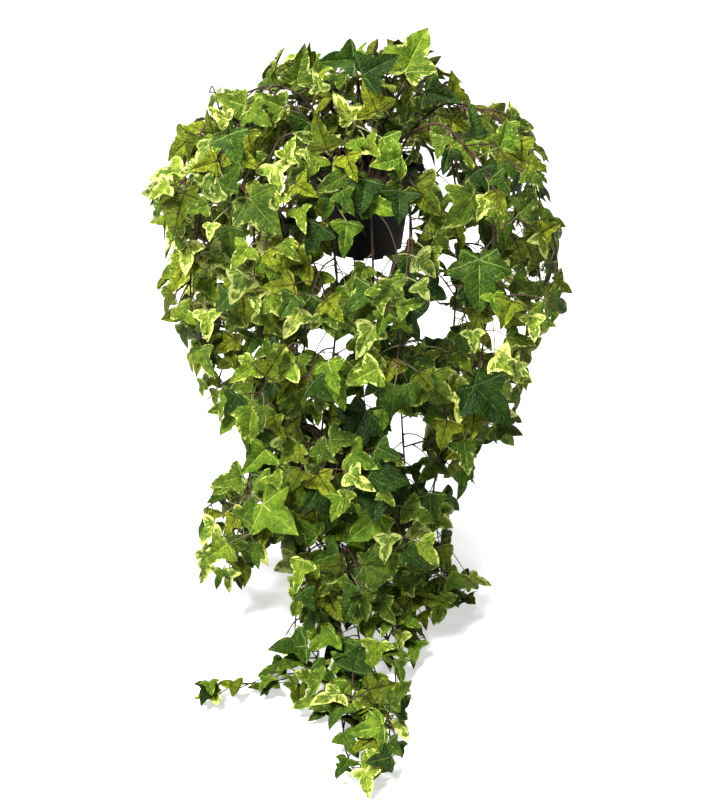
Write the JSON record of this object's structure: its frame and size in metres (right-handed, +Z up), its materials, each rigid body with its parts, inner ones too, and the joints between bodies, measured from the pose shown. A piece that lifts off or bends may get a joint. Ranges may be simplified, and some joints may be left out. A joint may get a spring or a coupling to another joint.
{
  "type": "potted english ivy",
  "caption": "Trailing ivy in a black nursery pot that hangs by its rim; variegated lobed leaves on long thin stems fall below the pot.",
  "frame": {"origin": "middle of the pot's rim, in the plane of its top edge, where a hanger holds it", "axes": "+Z up along the pot's axis, the plant's front faces -Y, +X to the right seen from the front"},
  "size_m": [0.4786, 0.6796, 0.6723],
  "materials": {
    "pot_plastic": "satin",
    "soil": "matte",
    "foliage": "satin"
  },
  "bodies": {
    "root": {"pot": "pot_plastic", "soil": "soil", "vine_right_high": "foliage", "vine_right_long": "foliage", "vine_right_back": "foliage", "vine_back_right": "foliage", "vine_mid_right": "foliage", "vine_back": "foliage", "vine_back_left": "foliage", "vine_left_back": "foliage", "vine_left_back_long": "foliage", "vine_left_high": "foliage", "vine_left_front": "foliage", "vine_left_floor": "foliage", "vine_left_long": "foliage", "vine_front_mid_left": "foliage", "vine_front_left": "foliage", "vine_front": "foliage", "vine_front_right": "foliage", "vine_right_front": "foliage", "vine_crown_right": "foliage", "vine_crown_mid": "foliage", "vine_crown_left": "foliage", "vine_crown_front": "foliage"}
  },
  "joints": []
}
